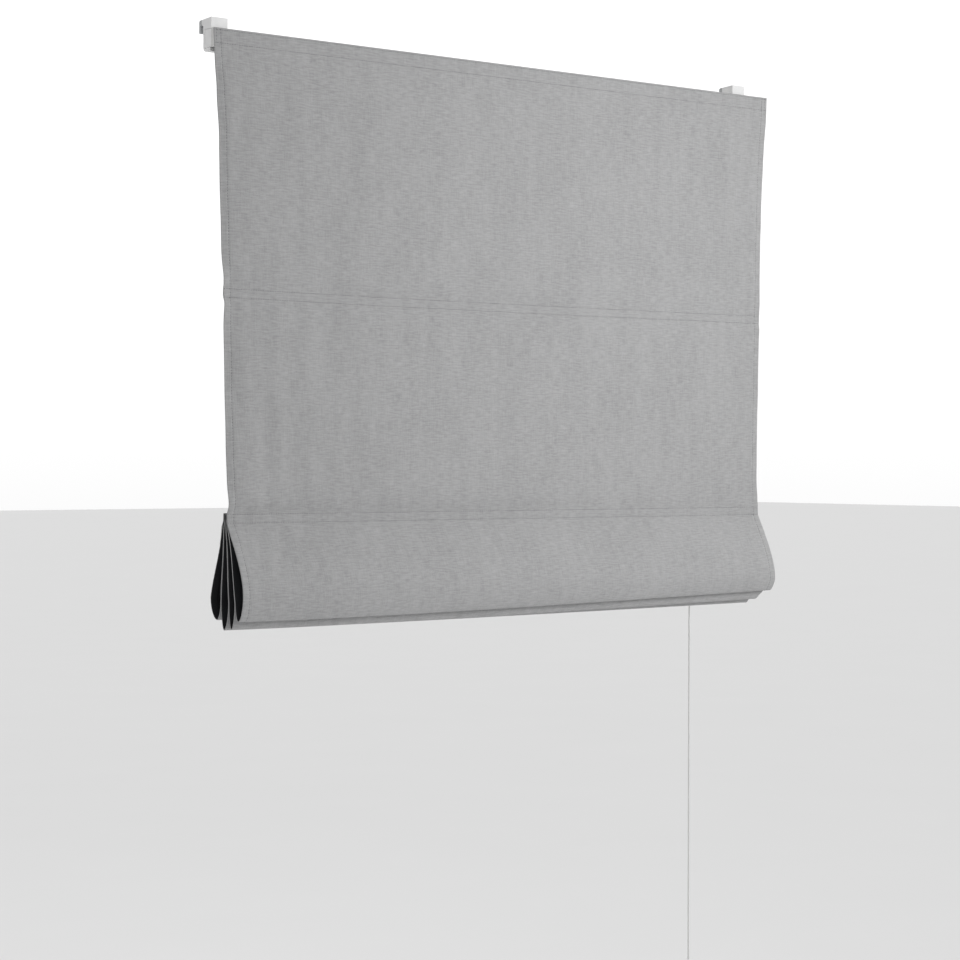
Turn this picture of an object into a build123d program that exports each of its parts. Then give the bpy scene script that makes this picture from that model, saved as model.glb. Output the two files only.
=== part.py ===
from build123d import *
import os
from math import pi, sqrt, tan

# Roman blind on two clamp brackets, drawn half raised: two flat panels above four gathered folds.
# Millimetres, +Z up, +X along the rail. The origin is the inner corner of the left bracket's hook:
# Y = 0 is the window sash's front face, Z = 0 its top edge, X = 0 the middle of the left bracket.

# ---- cloth ----
cloth_width = 800.0        # cut width, hemmed
cloth_thickness = 0.35
cloth_top = -4.2           # top hem, just below the sash's top edge
top_panel = 272.8          # top hem to the first lath
lath_pitch = 234.0         # lath to lath along the cloth
edge_pull_in = 15.5        # each side edge is drawn in this much where the folds start
fold_depths = [100.0, 113.0, 114.0, 106.0]   # folds below their laths, front to back
fold_bottom_widths = [12.0, 10.5, 10.2, 13.8]
fold_gap = 0.8             # between the faces of two neighbouring folds
stack_front = -53.5        # the front fold's foremost face
hem_flap = 22.0            # free hem below the bottom bar
hem_flare = 3.0            # and how far its edge stands back

# ---- laths, bar and rings ----
lath_height = 6.5
lath_thickness = 1.0
lath_end_inset = 6.0       # the side hem closes the pocket this far in
pocket_clearance = 0.1
pocket_wall = 0.3
pocket_hem = 1.15          # stitched cloth above and below the lath's tunnel
bar_height = 7.5
bar_thickness = 2.0
bar_end_inset = 12.0
layer_gap = 0.4            # between two layers of cloth in the gathered stack
ring_radius = 3.5
ring_bore = 2.2
ring_thickness = 1.1
ring_gap = 0.3             # slack of the thread that sews a ring on
cord_hangs_low = 0.8       # a cord lies this far below the middle of a ring

# ---- head rail ----
rail_depth = 12.0
rail_height = 19.0
rail_wall = 1.4
rail_top = -5.0
groove_depth = 0.7         # snap grooves along the rail's top and bottom
groove_width = 1.6
groove_from_front = 3.0
cap_thickness = 1.5
cap_plug = 5.0
hook_tape_thickness = 2.2
loop_tape_thickness = 2.05

# ---- clamp brackets ----
bracket_width = 20.0
bracket_plate = 3.1        # plate between the rail and the sash
bracket_lip = 3.6          # lip under the rail
bracket_corner = 5.0
bracket_fit = 0.3          # between a bracket and the rail
arm_front_height = 7.2     # top of the arm above the sash, at the front and at the rear
arm_rear_height = 5.6
arm_reach = 3.0            # fixed part of the arm over the sash
right_bracket_inset = 34.0 # from the cloth's right edge
jaw_gap = 5.0              # sash thickness held at rest
jaw_thickness = 3.0
jaw_drop = 8.0             # the jaw's lip reaches this far down behind the sash
jaw_corner = 2.4
tongue_width = 12.0
tongue_thickness = 2.2
tongue_floor = 1.5         # the tongue's underside above the sash's top
tongue_inside = 12.5       # length of tongue behind the sash's front face at rest
tongue_fit = 0.1
lock_screw_radius = 1.5
lock_screw_length = 2.2
lock_screw_socket = 0.75
lock_screw_back = 5.0      # screw axis in front of the sash
screw_fit = 0.05

# ---- cords, guides and cord lock ----
cord_radius = 0.5
cord_fit = 0.1
strand_gap = 1.4           # between the middles of the two strands
cord_inset = 140.0         # lift cords from the cloth's edges
lock_inset = 109.0         # pulling strands from the cloth's right edge
cord_level = -14.0         # height of the cords inside the rail
cord_plane = -9.4          # middle of the two strands inside the rail
guide_radius = 2.4
guide_bore = 1.1
guide_fit = 0.05
guide_flange = 3.2
guide_flange_thickness = 0.9
lock_length = 22.0
lock_left_of_strands = 11.0
lock_wall = 1.2
lock_nose = 7.0            # the lock's housing shows this far below the rail
lock_fit = 0.1
pulley_radius = 4.0
pulley_groove = 2.9
pulley_width = 4.4
pin_radius = 1.0
pin_fit = 0.03
pawl_offset = 5.5          # pawl pivot beside the strands
pawl_drop = 6.0            # and below the cords' run
pawl_radius = 2.3
pawl_nip = 0.15
pawl_width = 5.0

# ---- pull tassel ----
pull_length = 1100.0       # strands from the lock to the top of the tassel
strands_behind = -1.5      # the strands hang this far in front of the sash, behind the folds
strands_bend = 530.0       # they touch the back of the folds this far below the lock
tassel_length = 40.0
tassel_radius = 7.5
tassel_neck = 3.6
tassel_bore = 2.0
tassel_cavity = 4.6
tassel_cavity_depth = 16.0
knot_radius = 2.9
stop_knot_radius = 1.6

# ---- places worked out from the sizes above ----
cloth_left = -bracket_width / 2
cloth_right = cloth_left + cloth_width
middle = (cloth_left + cloth_right) / 2
rail_back = -(bracket_plate + bracket_fit)
rail_front = rail_back - rail_depth
rail_bottom = rail_top - rail_height
cloth_back = rail_front - hook_tape_thickness - loop_tape_thickness
cloth_front = cloth_back - cloth_thickness
lath_1_z = cloth_top - top_panel
lath_2_z = lath_1_z - lath_pitch
stack_width = cloth_width - 2 * edge_pull_in
lath_1_length = (
    cloth_width - 2 * edge_pull_in * top_panel / (top_panel + lath_pitch) - 2 * lath_end_inset
)
tunnel_height = lath_height + 2 * pocket_clearance
pocket_height = tunnel_height + 2 * pocket_hem
pocket_top = lath_2_z + pocket_height / 2
split_z = pocket_top + 2 * ring_radius + 3.2   # the flat cloth is two solids that part here
right_bracket = cloth_right - right_bracket_inset - bracket_width / 2
cord_xs = [cloth_left + cord_inset, cloth_right - cord_inset]
cord_ys = [cord_plane - strand_gap / 2, cord_plane + strand_gap / 2]
strand_x = cloth_right - lock_inset
lock_bottom = rail_bottom - lock_nose
pulley_turn = pulley_groove + cord_fit + cord_radius   # radius of a cord's middle round the pulley
pulley_x = strand_x - pulley_turn
pulley_z = cord_level - pulley_turn
tassel_top = lock_bottom - pull_length

DEGREE = pi / 180
saved = {}


def save(name, *solids):
    """Keep the solids of one piece under its name."""
    saved[name] = Compound(label=name, children=list(solids)) if len(solids) > 1 else solids[0]


def block(x, y, z):
    """A box from its three (low, high) pairs."""
    return Pos((x[0] + x[1]) / 2, (y[0] + y[1]) / 2, (z[0] + z[1]) / 2) * Box(
        x[1] - x[0], y[1] - y[0], z[1] - z[0]
    )


def along_x(face_yz, low, high):
    """Extrude a face drawn in the YZ plane from X = low to X = high."""
    return extrude(Plane.YZ.offset(low) * face_yz, high - low)


def rod_y(x, z, radius, low, high):
    return Pos(x, (low + high) / 2, z) * Rot(90, 0, 0) * Cylinder(radius, high - low)


def rod_z(x, y, radius, low, high):
    return Pos(x, y, (low + high) / 2) * Cylinder(radius, high - low)


def rectangle(y, z):
    """A rectangle in the YZ plane from its two (low, high) pairs."""
    return Pos((y[0] + y[1]) / 2, (z[0] + z[1]) / 2) * Rectangle(y[1] - y[0], z[1] - z[0])


def tube(points, radii):
    """A cord: straight runs joined by tangent arcs, one radius to each corner."""
    path = FilletPolyline(*points, radius=radii) if radii else Line(*points)
    section = Plane(origin=path @ 0, z_dir=path % 0) * Circle(cord_radius)
    return sweep(section, path=path)


# ---- head rail, end caps and tapes ----
def rail_outline():
    """Outside of the rail in the YZ plane, with its two snap grooves."""
    outline = rectangle((rail_front, rail_back), (rail_bottom, rail_top))
    groove = (rail_front + groove_from_front, rail_front + groove_from_front + groove_width)
    for low, high in [(rail_top - groove_depth, rail_top), (rail_bottom, rail_bottom + groove_depth)]:
        outline -= rectangle(groove, (low, high))
    return outline


inside_y = (rail_front + rail_wall, rail_back - rail_wall)
inside_z = (rail_bottom + rail_wall, rail_top - rail_wall)
rail_ends = (cloth_left + cap_thickness, cloth_right - cap_thickness)
lock_x = (strand_x - lock_left_of_strands, strand_x - lock_left_of_strands + lock_length)
lock_y = (inside_y[0] + lock_fit, inside_y[1] - lock_fit)

rail = along_x(rail_outline() - rectangle(inside_y, inside_z), *rail_ends)
for x, y in zip(cord_xs, cord_ys):
    rail -= rod_z(x, y, guide_radius + guide_fit, rail_bottom - 1, inside_z[0] + 1)
rail -= block((lock_x[0] - lock_fit, lock_x[1] + lock_fit), lock_y, (rail_bottom - 1, inside_z[0] + 1))
save("head_rail", rail)

for name, outer, way in [("rail_end_cap_left", cloth_left, 1), ("rail_end_cap_right", cloth_right, -1)]:
    face_end = outer + way * cap_thickness
    plug_end = face_end + way * cap_plug
    cap = along_x(rail_outline(), min(outer, face_end), max(outer, face_end))
    cap += along_x(rectangle(inside_y, inside_z), min(face_end, plug_end), max(face_end, plug_end))
    hollow = rectangle(
        (inside_y[0] + rail_wall, inside_y[1] - rail_wall), (inside_z[0] + rail_wall, inside_z[1] - rail_wall)
    )
    cap -= along_x(hollow, min(face_end, plug_end), max(face_end, plug_end))
    save(name, cap)

tape_z = (rail_bottom, rail_top)
loop_front = rail_front - hook_tape_thickness
save("hook_tape", block((cloth_left, cloth_right), (loop_front, rail_front), tape_z))
save("loop_tape", block((cloth_left, cloth_right), (cloth_back, loop_front), tape_z))


# ---- clamp brackets ----
def bracket_body(x):
    """A C round the rail with an arm over the sash, drawn in the YZ plane."""
    arm_end = arm_front_height + (arm_rear_height - arm_front_height) * (
        (arm_reach - rail_front) / (jaw_gap + jaw_thickness - rail_front)
    )
    top = Polyline(
        (rail_front, rail_top + bracket_fit),
        (rail_front, arm_front_height),
        (arm_reach, arm_end),
        (arm_reach, 0),
        (0, 0),
        (0, rail_bottom - bracket_fit - bracket_lip),
        (rail_front + 2.0, rail_bottom - bracket_fit - bracket_lip),
        (rail_front + 2.0, rail_bottom - bracket_fit),
        (rail_back + bracket_fit, rail_bottom - bracket_fit),
        (rail_back + bracket_fit, rail_top + bracket_fit),
        (rail_front, rail_top + bracket_fit),
    )
    body = along_x(make_face(top), x - bracket_width / 2, x + bracket_width / 2)
    low = rail_bottom - bracket_fit - bracket_lip
    outer_corner = [
        e
        for e in body.edges().filter_by(Axis.X)
        if abs(e.center().Y) < 0.01 and abs(e.center().Z - low) < 0.01
    ]
    body = fillet(outer_corner, bracket_corner)
    groove = rail_front + groove_from_front
    rib = (groove + bracket_fit, groove + groove_width - bracket_fit)
    side = (x - bracket_width / 2, x + bracket_width / 2)
    body += block(side, rib, (rail_top - groove_depth + bracket_fit, rail_top + bracket_fit))
    body += block(side, rib, (rail_bottom - bracket_fit, rail_bottom + groove_depth - bracket_fit))
    channel_z = (tongue_floor - tongue_fit, tongue_floor + tongue_thickness + tongue_fit)
    channel_x = (x - tongue_width / 2 - tongue_fit, x + tongue_width / 2 + tongue_fit)
    body -= block(channel_x, (-tongue_inside - tongue_fit, arm_reach + 1), channel_z)
    screw_hole = (channel_z[1] - 0.1, arm_front_height + 1)
    return body - rod_z(x, -lock_screw_back, lock_screw_radius + screw_fit, *screw_hole)


def bracket_jaw(x):
    """The rear lip behind the sash and the tongue that slides in the arm."""
    start, rear = arm_reach + tongue_fit, jaw_gap + jaw_thickness
    slope = (arm_rear_height - arm_front_height) / (rear - rail_front)
    outline = Polyline(
        (start, 0),
        (start, arm_front_height + slope * (start - rail_front)),
        (rear, arm_rear_height),
        (rear, -jaw_drop),
        (jaw_gap, -jaw_drop),
        (jaw_gap, 0),
        (start, 0),
    )
    jaw = along_x(make_face(outline), x - bracket_width / 2, x + bracket_width / 2)
    rounded = [
        e
        for e in jaw.edges().filter_by(Axis.X)
        if abs(e.center().Y - rear) < 0.01 and e.center().Z > 0
    ]
    jaw = fillet(rounded, jaw_corner)
    tips = [e for e in jaw.edges().filter_by(Axis.X) if e.center().Z < 0.5 - jaw_drop]
    jaw = fillet(tips, jaw_thickness * 0.4)
    side = (x - tongue_width / 2, x + tongue_width / 2)
    return jaw + block(side, (-tongue_inside, start + 0.5), (tongue_floor, tongue_floor + tongue_thickness))


def lock_screw(x):
    """A headless screw in the arm's top that presses on the tongue."""
    low = tongue_floor + tongue_thickness + 2 * screw_fit
    high = low + lock_screw_length
    screw = rod_z(x, -lock_screw_back, lock_screw_radius, low, high)
    socket = Pos(x, -lock_screw_back, high - lock_screw_length / 4) * extrude(
        RegularPolygon(lock_screw_socket, 6), lock_screw_length
    )
    return screw - socket


for side, x in [("left", 0.0), ("right", right_bracket)]:
    save(f"bracket_body_{side}", bracket_body(x))
    save(f"bracket_jaw_{side}", bracket_jaw(x))
    save(f"jaw_lock_screw_{side}", lock_screw(x))


# ---- cloth and its pockets, in the YZ plane ----
def pocket(front, z, height, thickness):
    """The cloth strip behind a lath: a tunnel whose front is the cloth itself, and its hole."""
    back = front + cloth_thickness + thickness + 2 * pocket_clearance
    half = height / 2 + pocket_clearance
    outside = rectangle((front, back + pocket_wall), (z - half - pocket_hem, z + half + pocket_hem))
    return outside, rectangle((front + cloth_thickness, back), (z - half, z + half))


flat = make_face(
    Polyline(
        (cloth_left, cloth_top),
        (cloth_right, cloth_top),
        (cloth_right - edge_pull_in, lath_2_z),
        (cloth_left + edge_pull_in, lath_2_z),
        (cloth_left, cloth_top),
    )
)
upper = extrude(Plane.XZ.offset(-cloth_back) * flat, cloth_thickness)
outside, tunnel = pocket(cloth_front, lath_1_z, lath_height, lath_thickness)
sewn = (middle - lath_1_length / 2 - 1, middle + lath_1_length / 2 + 1)
upper += along_x(outside, *sewn)
upper -= along_x(tunnel, *sewn)
upper &= block((cloth_left, cloth_right), (cloth_front, 0), (split_z, cloth_top))
save("cloth_upper", upper)


def strip_pitch(thickness):
    """Depth that one gathered pocket takes: its cloth, its lath and the layer that rises to it."""
    return 2 * cloth_thickness + 2 * layer_gap + thickness + 2 * pocket_clearance + pocket_wall


def corner_reach(a, b, c):
    """How far along its sides a corner's arc of radius 1 reaches."""
    return tan((Vector(*b) - Vector(*a)).get_angle(Vector(*c) - Vector(*b)) / 2 * DEGREE)


def folds():
    """One strip of cloth from the second lath through the folds to the hem, with its pockets."""
    half = cloth_thickness / 2
    points = [(cloth_front + half, split_z - ring_gap)]
    radii, pockets = [], []
    front, z = cloth_front, lath_2_z
    thicknesses = [lath_thickness] * len(fold_depths) + [bar_thickness]
    heights = [lath_height] * len(fold_depths) + [bar_height]
    fold_front = stack_front
    for i, (thickness, height) in enumerate(zip(thicknesses, heights)):
        bottom = z - height / 2 - pocket_clearance - pocket_hem
        pockets.append((front, z, height, thickness))
        if i == len(fold_depths):
            points += [(front + half, bottom - 0.5), (front + half + hem_flare, bottom - hem_flap)]
            radii.append(6.0)
            break
        points.append((front + half, bottom - 0.5))
        radii.append(6.0)
        low, width = lath_2_z - fold_depths[i], fold_bottom_widths[i]
        next_front = front + strip_pitch(thickness)
        rise = next_front - layer_gap - half
        ends = [(fold_front + half, low), (fold_front + width - half, low)]
        reach = [corner_reach(points[-1], *ends), corner_reach(*ends, (rise, bottom - 0.5))]
        points += ends
        radii += [0.95 * (width - cloth_thickness) / sum(reach)] * 2
        high = lath_2_z + heights[i + 1] / 2 + pocket_clearance + pocket_hem + half
        points += [(rise, bottom - 0.5), (rise, high), (next_front + half, high)]
        bend = (layer_gap + cloth_thickness) * 0.45
        radii += [6.0, bend, bend]
        fold_front += width + fold_gap
        if i + 1 < len(fold_depths):   # a shallower fold leans back with the layer in front of it
            shallower = max(0.0, fold_depths[i] - fold_depths[i + 1])
            fold_front += shallower * (rise - points[-4][0]) / (bottom - low)
        front = next_front
    return points, radii, pockets


def strip_face(points, radii):
    """The strip's section: the path moved half a thickness to each side, its corners kept round."""
    path = [Vector(*p) for p in points]
    ways = [(b - a).normalized() for a, b in zip(path, path[1:])]
    sides = []
    for shift in (cloth_thickness / 2, -cloth_thickness / 2):
        normals = [Vector(-w.Y, w.X) * shift for w in ways]
        moved, round_by = [path[0] + normals[0]], []
        for corner, before, after, n, radius in zip(path[1:], ways, ways[1:], normals, radii):
            turn = before.X * after.Y - before.Y * after.X
            along = before * (-shift * (1 - before.dot(after)) / turn)
            moved.append(corner + n + along)
            round_by.append(radius - shift * (1 if turn > 0 else -1))
        moved.append(path[-1] + normals[-1])
        sides.append(FilletPolyline(*moved, radius=round_by))
    ends = [Line(sides[0] @ 1, sides[1] @ 1), Line(sides[1] @ 0, sides[0] @ 0)]
    return make_face([*sides[0].edges(), ends[0], *sides[1].edges(), ends[1]])


points, radii, pockets = folds()
stack = along_x(strip_face(points, radii), middle - stack_width / 2, middle + stack_width / 2)
for front, z, height, thickness in pockets:
    outside, tunnel = pocket(front, z, height, thickness)
    reach = stack_width / 2 - lath_end_inset + 1
    stack += along_x(outside, middle - reach, middle + reach)
    stack -= along_x(tunnel, middle - reach, middle + reach)
save("cloth_folds", stack)

# ---- laths and bottom bar ----
save(
    "pocket_lath_1",
    block(
        (middle - lath_1_length / 2, middle + lath_1_length / 2),
        (cloth_back + pocket_clearance, cloth_back + pocket_clearance + lath_thickness),
        (lath_1_z - lath_height / 2, lath_1_z + lath_height / 2),
    ),
)
for i, (front, z, height, thickness) in enumerate(pockets):
    last = i == len(pockets) - 1
    half = stack_width / 2 - (bar_end_inset if last else lath_end_inset)
    low = front + cloth_thickness + pocket_clearance
    save(
        "bottom_bar" if last else f"pocket_lath_{i + 2}",
        block((middle - half, middle + half), (low, low + thickness), (z - height / 2, z + height / 2)),
    )


# ---- rings, sewn to the backs and tops of the pockets ----
def ring():
    return Cylinder(ring_radius, ring_thickness) - Cylinder(ring_bore, ring_thickness)


pocket_back = cloth_back + lath_thickness + 2 * pocket_clearance + pocket_wall
upper_ring_y = pocket_back + ring_gap + ring_radius
save("rings_upper", *[Pos(x, upper_ring_y, lath_1_z) * ring() for x in cord_xs])

lower_ring_y = cloth_back + ring_gap + ring_radius
lower_ring_z = split_z - ring_gap - ring_thickness
ring_z = pocket_top + cloth_thickness + ring_gap + ring_radius
cord_low = ring_z - cord_hangs_low   # the cords run back through the standing rings here
rings = []
for x in cord_xs:
    rings.append(Pos(x, lower_ring_y, lower_ring_z) * ring())
    for front, z, height, thickness in pockets[1:]:
        rings.append(Pos(x, front + cloth_thickness + thickness / 2, ring_z) * Rot(90, 0, 0) * ring())
save("rings_lower", *rings)

# ---- cord guides, lift cords and their stop knots ----
guide_top = inside_z[0] + guide_flange_thickness
for side, x, y in zip(["left", "right"], cord_xs, cord_ys):
    guide = rod_z(x, y, guide_radius, rail_bottom - guide_flange_thickness, guide_top)
    guide += rod_z(x, y, guide_flange, inside_z[0], guide_top)
    guide += rod_z(x, y, guide_flange, rail_bottom - guide_flange_thickness, rail_bottom)
    guide -= rod_z(x, y, guide_bore, rail_bottom - 2, guide_top + 1)
    save(f"cord_guide_{side}", guide)

bar_front = pockets[-1][0]
cord_end = bar_front + cloth_thickness + bar_thickness / 2 + ring_thickness / 2 + stop_knot_radius
drop_y = lower_ring_y - ring_bore + cord_radius + 0.05   # the cords turn back in front of the standing rings
for side, x, y in zip(["left", "right"], cord_xs, cord_ys):
    route = [
        (x, cord_end, cord_low),
        (x, drop_y, cord_low),
        (x, y, rail_bottom - guide_flange_thickness),
        (x, y, cord_level),
        (strand_x, y, cord_level),
        (strand_x, y, lock_bottom),
    ]
    save(f"lift_cord_{side}", tube(route, [4 * cord_radius, 40.0, 6 * cord_radius, pulley_turn]))
save(
    "cord_stop_knots",
    *[Pos(x, cord_end + stop_knot_radius, cord_low) * Sphere(stop_knot_radius) for x in cord_xs],
)

# ---- cord lock: housing, pulley, pawl and their pins ----
cavity_x = (lock_x[0] + lock_wall, lock_x[1] - lock_wall)
cavity_y = (lock_y[0] + lock_wall, lock_y[1] - lock_wall)
lock_top = inside_z[1] - lock_fit
pawl_x, pawl_z = strand_x + pawl_offset, cord_level - pawl_drop
housing = block(lock_x, lock_y, (lock_bottom, lock_top))
housing -= block(cavity_x, cavity_y, (lock_bottom + lock_wall, lock_top - lock_wall))
strands_y = (cord_ys[0] - 2 * cord_radius, cord_ys[1] + 2 * cord_radius)
housing -= block((lock_x[0] - 1, cavity_x[0] + 1), strands_y, (cord_level - 1.5, cord_level + 1.5))
housing -= block((strand_x - 1.5, strand_x + 1.5), strands_y, (lock_bottom - 1, lock_bottom + lock_wall + 1))
pulley_y = (cord_plane - pulley_width / 2, cord_plane + pulley_width / 2)
pulley = rod_y(pulley_x, pulley_z, pulley_radius, *pulley_y)
for y in cord_ys:
    edge = (y - cord_radius - cord_fit, y + cord_radius + cord_fit)
    groove = rod_y(pulley_x, pulley_z, pulley_radius + 1, *edge)
    pulley -= groove - rod_y(pulley_x, pulley_z, pulley_groove, *edge)
pulley -= rod_y(pulley_x, pulley_z, pin_radius + pin_fit, lock_y[0], lock_y[1])
save("lock_pulley", pulley)

nose = strand_x + cord_radius + pawl_nip
pawl_y = (cord_plane - pawl_width / 2, cord_plane + pawl_width / 2)
pawl = rod_y(pawl_x, pawl_z, pawl_radius, *pawl_y)
pawl += block((nose, pawl_x), pawl_y, (pawl_z - 0.9, pawl_z + 0.9))
pawl -= rod_y(pawl_x, pawl_z, pin_radius + pin_fit, lock_y[0], lock_y[1])
save("lock_pawl", pawl)

pins = []
for x, z in [(pulley_x, pulley_z), (pawl_x, pawl_z)]:
    housing -= rod_y(x, z, pin_radius, lock_y[0] - 1, lock_y[1] + 1)
    pins.append(rod_y(x, z, pin_radius, *lock_y))
save("cord_lock_housing", housing)
save("lock_pins", *pins)

# ---- pulling strands, tassel and its knot ----
bends = []
for side, y, behind in zip(
    ["left", "right"], cord_ys, [strands_behind - strand_gap / 2, strands_behind + strand_gap / 2]
):
    knot_top = tassel_top - (tassel_length - tassel_cavity_depth) - 0.1
    route = [
        (strand_x, y, lock_bottom),
        (strand_x, behind, lock_bottom - strands_bend),
        (strand_x, behind, knot_top),
    ]
    runs = [sqrt(sum((a - b) ** 2 for a, b in zip(p, q))) for p, q in zip(route, route[1:])]
    turn = (Vector(*route[1]) - Vector(*route[0])).get_angle(Vector(*route[2]) - Vector(*route[1]))
    radius = 0.45 * min(runs) / tan(turn / 2 * DEGREE)
    bends.append(radius)
    save(f"pull_strand_{side}", tube(route, [radius]))
print("strand bend radii", [round(r) for r in bends], "strand length", round(sum(runs), 1))

tassel_low = tassel_top - tassel_length
half_profile = [
    (tassel_bore, tassel_top),
    (tassel_neck, tassel_top),
    (tassel_radius, tassel_low + tassel_cavity_depth * 0.6),
    (tassel_radius, tassel_low),
    (tassel_cavity, tassel_low),
    (tassel_cavity, tassel_low + tassel_cavity_depth),
    (tassel_bore, tassel_low + tassel_cavity_depth),
]
profile = make_face(Plane.XZ * Polyline(*half_profile, half_profile[0]))
tassel = Pos(strand_x, strands_behind, 0) * revolve(profile, Axis.Z)
tassel = fillet(tassel.edges().filter_by(GeomType.CIRCLE).sort_by(Axis.Z)[:2], 0.8)
save("tassel", tassel)
knot_z = tassel_low + tassel_cavity_depth - 0.2 - knot_radius
save("tassel_knot", Pos(strand_x, strands_behind, knot_z) * Sphere(knot_radius))

os.makedirs("parts", exist_ok=True)
for name, piece in saved.items():
    piece.label = name
    export_step(piece, f"parts/{name}.step")
print(len(saved), "pieces")
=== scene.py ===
import math

import bpy
from bpy.props import FloatProperty, FloatVectorProperty, IntProperty, PointerProperty
from mathutils import Matrix, Vector, noise


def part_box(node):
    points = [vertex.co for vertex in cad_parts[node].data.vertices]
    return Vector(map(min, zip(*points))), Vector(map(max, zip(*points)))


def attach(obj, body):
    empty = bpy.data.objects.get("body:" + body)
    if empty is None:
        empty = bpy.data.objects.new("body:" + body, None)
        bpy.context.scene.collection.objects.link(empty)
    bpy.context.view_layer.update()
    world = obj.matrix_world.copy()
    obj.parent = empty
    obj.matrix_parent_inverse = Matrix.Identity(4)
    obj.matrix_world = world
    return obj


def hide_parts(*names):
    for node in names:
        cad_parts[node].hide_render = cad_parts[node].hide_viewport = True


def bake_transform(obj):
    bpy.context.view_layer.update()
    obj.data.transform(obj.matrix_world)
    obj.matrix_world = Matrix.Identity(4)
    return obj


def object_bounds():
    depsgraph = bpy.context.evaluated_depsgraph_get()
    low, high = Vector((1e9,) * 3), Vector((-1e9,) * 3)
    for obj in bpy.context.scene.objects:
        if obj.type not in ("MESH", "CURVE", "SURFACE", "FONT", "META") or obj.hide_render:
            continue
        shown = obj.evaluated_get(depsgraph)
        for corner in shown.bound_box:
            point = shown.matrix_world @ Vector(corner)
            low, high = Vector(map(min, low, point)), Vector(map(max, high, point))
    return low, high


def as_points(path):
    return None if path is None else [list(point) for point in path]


bl_info = {
    "name": "Roman blind builder",
    "version": (1, 0, 0),
    "blender": (4, 5, 0),
    "location": "3D View > Sidebar > Blind",
    "description": "Builds a half-raised roman blind around its packed construction model",
    "category": "Object",
}

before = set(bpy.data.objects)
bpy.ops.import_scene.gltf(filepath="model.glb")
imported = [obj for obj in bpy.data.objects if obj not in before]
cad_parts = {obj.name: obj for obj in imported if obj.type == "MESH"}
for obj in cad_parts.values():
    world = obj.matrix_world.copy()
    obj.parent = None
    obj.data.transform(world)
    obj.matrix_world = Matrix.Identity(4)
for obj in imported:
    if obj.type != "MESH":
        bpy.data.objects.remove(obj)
CAD_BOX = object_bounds()
MM = 0.001

# ---- places, in metres, read from the frame ----
UPPER_LOW, UPPER_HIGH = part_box("cloth_upper")
RAIL_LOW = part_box("head_rail")[0]
LATHS = [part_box(f"pocket_lath_{i}") for i in range(1, 6)] + [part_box("bottom_bar")]
LATH_Z = [(low.z + high.z) / 2 for low, high in LATHS]
STRAND_LOW, STRAND_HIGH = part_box("pull_strand_left")
STRAND_X = (STRAND_LOW.x + STRAND_HIGH.x) / 2

CLOTH_WIDTH = 0.8
CLOTH_THICKNESS = 0.35 * MM
POCKET_CLEARANCE = 0.1 * MM
POCKET_HALF = 4.5 * MM   # from the middle of a lath to the stitches above and below it
POCKET_WALL = 0.3 * MM
POCKET_EDGE = 1.25 * MM   # cloth above and below a lath, up to its pocket's edge
POCKET_OVERLAP = 1.2 * MM   # a pocket strip past each end of its lath
LAYER_STEP = 0.75 * MM   # middle to middle of two layers that touch at a gathered top
HEM_WIDTH = 8.5 * MM   # side hem, from the edge to its stitches
HEM_EXTRA = 0.2 * MM   # what the turned-in layers add to the hem's thickness
HEM_COLUMNS = [0, 1.0, 2.6, 4.6, 6.4, 7.4, 8.1, 8.5, 8.9, 9.9, 12.0]   # millimetres from the edge
TOP_LINES = (2 * MM, 15.5 * MM)   # the two lines of stitches along the top hem, below the edge
BOTTOM_FLAP = 22 * MM   # free hem below the bottom bar
THREAD_RADIUS = 0.24 * MM
THREAD_SINK = -0.03 * MM   # how far stitches are pulled into the cloth
FLOOR_SIZE = 40.0
FLOOR_DROP = 0.3   # below the object at rest, so that the tassel hangs clear when the blind is raised


# ---- settings that a user would change ----
def colour_setting(name, description, default):
    return FloatVectorProperty(
        name=name, description=description, subtype="COLOR", default=default, min=0, max=1)


def length_setting(name, description, default, least, most):
    return FloatProperty(
        name=name, description=description, subtype="DISTANCE", unit="LENGTH",
        default=default, min=least, max=most)


class BlindClothSettings(bpy.types.PropertyGroup):
    """Sizes and colours of the cloth and its sewing."""

    face_colour: colour_setting(
        "Face colour", "Colour of the woven side that faces the room", (0.36, 0.36, 0.363))
    backing_colour: colour_setting(
        "Backing colour", "Colour of the light-proof coating on the back", (0.027, 0.028, 0.031))
    thread_colour: colour_setting("Thread colour", "Colour of the sewing thread", (0.12, 0.12, 0.125))
    wrinkle_height: length_setting(
        "Wrinkle height", "How far the soft vertical wrinkles stand out", 1.15 * MM, 0, 3 * MM)
    tuck_depth: length_setting(
        "Tuck depth", "How far the cloth stands out just above a pocket's stitches", 4.2 * MM, 0, 6 * MM)
    stitch_pitch: length_setting(
        "Stitch pitch", "Length of one stitch and its gap", 3 * MM, 1 * MM, 10 * MM)
    columns: IntProperty(
        name="Columns", description="Strips of mesh across the cloth between its hems",
        default=122, min=20, max=130)


class BlindFittingSettings(bpy.types.PropertyGroup):
    """Colours of the fittings and of the cords."""

    plastic_colour: colour_setting(
        "Plastic colour", "Colour of the brackets, guides and lock", (0.80, 0.80, 0.80))
    # the jaws are a darker grey than the bracket bodies: painted shade, standing for the shade on the rounded
    # rear end of each bracket arm
    jaw_colour_painted_shade: colour_setting("Jaw colour", "Colour of the brackets' sliding jaws", (0.42, 0.43, 0.44))
    cord_colour: colour_setting(
        "Cord colour", "Colour of the lift cords and pulling strands", (0.83, 0.83, 0.82))


class BlindStageSettings(bpy.types.PropertyGroup):
    """Floor and light."""

    floor_colour: colour_setting("Floor colour", "Colour of the plain pale floor", (0.66, 0.66, 0.66))
    sky_strength: FloatProperty(
        name="Soft light", description="Strength of the light from all round", default=1.0, min=0, max=5)
    key_power: FloatProperty(
        name="Key light", description="Power of the small soft light in front",
        unit="POWER", default=7, min=0, max=500)


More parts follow.
